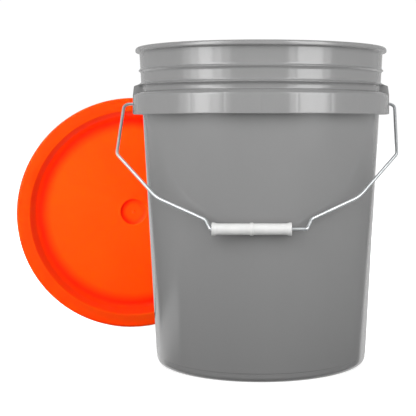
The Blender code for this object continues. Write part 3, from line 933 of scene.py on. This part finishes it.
def gasket_material():
    """Soft black rubber with a dusty bloom."""
    nodes = Nodes("gasket_rubber")
    where = nodes.place()
    bloom = nodes.noise(where, 60.0, 4.0, 0.6)
    colour = nodes.tint(nodes.span(bloom, 0.0, 1.0), (0.030, 0.030, 0.031), (0.060, 0.060, 0.060))
    roughness = nodes.span(bloom, 0.55, 0.75)
    nodes.bump([(nodes.noise(where, 1200.0, 3.0, 0.6), 0.4, 0.00005)])
    return nodes.finish(Base_Color=colour, Roughness=roughness, IOR=1.52)


# ---------------------------------------------------------------- stage


def make_camera():
    """The camera, which looks level and straight back, through a shifted lens."""
    data = bpy.data.cameras.new("camera")
    data.lens = CAMERA_LENS
    data.sensor_width = CAMERA_SENSOR
    data.shift_x, data.shift_y = CAMERA_SHIFT
    camera = add_object("camera", data)
    camera.location = CAMERA_PLACE
    camera.rotation_euler = (pi / 2, 0.0, 0.0)
    bpy.context.scene.camera = camera


def add_softbox(name, azimuths, elevations, distance, radiance, aim_z):
    """An area light that spans these angles, in degrees, as seen from the pail's axis at a height.

    Azimuth 0 is in front of the pail, and positive is to the right.
    """
    width, height = [2 * distance * tan(radians(high - low) / 2) for low, high in (azimuths, elevations)]
    azimuth, elevation = [radians(low + high) / 2 for low, high in (azimuths, elevations)]
    data = bpy.data.lights.new(name, "AREA")
    data.shape = "RECTANGLE"
    data.size = width
    data.size_y = height
    data.energy = radiance * pi * width * height
    lamp = add_object(name, data)
    level = cos(elevation)
    away = Vector((sin(azimuth) * level, -cos(azimuth) * level, sin(elevation)))
    lamp.location = Vector((0.0, 0.0, aim_z)) + away * distance
    lamp.rotation_euler = away.to_track_quat("Z", "Y").to_euler()
    lamp.visible_camera = False
    return lamp


def make_lights():
    """The strips, which show as bright bands on the pail, and the fills, which don't show in its gloss."""
    for azimuths, radiance in SOFTBOX_STRIPS:
        add_softbox("softbox_strip", azimuths, SOFTBOX_ELEVATIONS, SOFTBOX_DISTANCE, radiance, LIGHT_AIM_Z)
    for fill in FILLS:
        add_softbox(*fill).visible_glossy = False


def elevation_light(nodes, height):
    """The surround's radiance by elevation."""
    ramp = nodes.add("ShaderNodeValToRGB", {"Fac": nodes.span(height, 0.0, 1.0, -1.0, 1.0)})
    stops = ramp.color_ramp.elements
    for place, value in AMBIENT[1:-1]:
        stops.new((place + 1) / 2)
    for stop, (place, value) in zip(stops, AMBIENT):
        stop.position = (place + 1) / 2
        stop.color = (value, value, value, 1.0)
    return ramp.outputs["Color"]


def behind_light(nodes, toward):
    """The brighter area straight behind the object, dimmer at its middle, with a slanted upper edge."""
    across = nodes.math("SUBTRACT", toward["Y"], nodes.product(toward["Z"], BEHIND_SLANT))
    edge = nodes.span(across, 0.0, 1.0, *BEHIND_EDGE)
    return nodes.product(edge, nodes.span(toward["Y"], *BEHIND_LIGHT, *BEHIND_REACH))


def patch_light(nodes, toward):
    """The patch low on the left."""
    band = nodes.band(toward["Z"], PATCH_TOP, PATCH_LOW, PATCH_LIGHT)
    front = nodes.span(toward["Y"], 0.0, 1.0, *PATCH_FRONT)
    return nodes.product(band, front, nodes.math("LESS_THAN", toward["X"], 0.0))


def make_world():
    """The surround: white to the camera, and as a light the brightest of its three parts."""
    world = bpy.data.worlds.new("studio")
    bpy.context.scene.world = world
    world.use_nodes = True
    nodes = Nodes(world=world)
    toward = nodes.split(nodes.add("ShaderNodeTexCoord").outputs["Generated"])
    light = nodes.math("MAXIMUM", elevation_light(nodes, toward["Z"]), behind_light(nodes, toward))
    light = nodes.math("MAXIMUM", light, patch_light(nodes, toward))
    camera_ray = nodes.add("ShaderNodeLightPath").outputs["Is Camera Ray"]
    shown = nodes.add("ShaderNodeMix", {"Factor": camera_ray, "A": light, "B": BACKDROP})
    background = nodes.tree.nodes["Background"]
    background.inputs["Color"].default_value = (1.0, 1.0, 1.0, 1.0)
    nodes.set(background.inputs["Strength"], shown.outputs["Result"])


def make_floor():
    """A pale floor that shows nearly white to the camera and returns less light to the object."""
    bm = bmesh.new()
    bmesh.ops.create_circle(bm, cap_ends=True, segments=FLOOR_STEPS, radius=FLOOR_R)
    floor = add_object("floor", mesh_from("floor", bm))
    floor.location.z = -FLOOR_DROP
    nodes = Nodes("pale_floor")
    where = nodes.place()
    reach = nodes.add("ShaderNodeVectorMath", {"Vector": where}, operation="LENGTH").outputs["Value"]
    fade = nodes.span(reach, FLOOR_NEAR, FLOOR_FAR, *FLOOR_FADE)
    camera_ray = nodes.add("ShaderNodeLightPath").outputs["Is Camera Ray"]
    shown = nodes.add("ShaderNodeMix", {"Factor": camera_ray, "A": fade, "B": FLOOR_SHOWN})
    shade = shown.outputs["Result"]
    glow = nodes.product(camera_ray, nodes.span(reach, *FLOOR_GLOW, *GLOW_FADE))
    floor.data.materials.append(nodes.finish(
        Base_Color=shade, Roughness=0.9, Specular_IOR_Level=0.0,
        Emission_Color=(1.0, 1.0, 1.0, 1.0), Emission_Strength=glow,
    ))
    floor.visible_glossy = False


# ---------------------------------------------------------------- the scene

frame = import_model()
hinge = next(joint for joint in frame["joints"] if joint["name"] == "bail_swing")
pivot_place = Vector(hinge["pos_m"])

make_camera()
make_world()
make_floor()
make_lights()

make_pail(pail_material())
make_bail(wire_material(), pivot_place)
make_grip(grip_material())
make_gasket(gasket_material(), make_lid())

bpy.context.scene.view_settings.view_transform = "Standard"
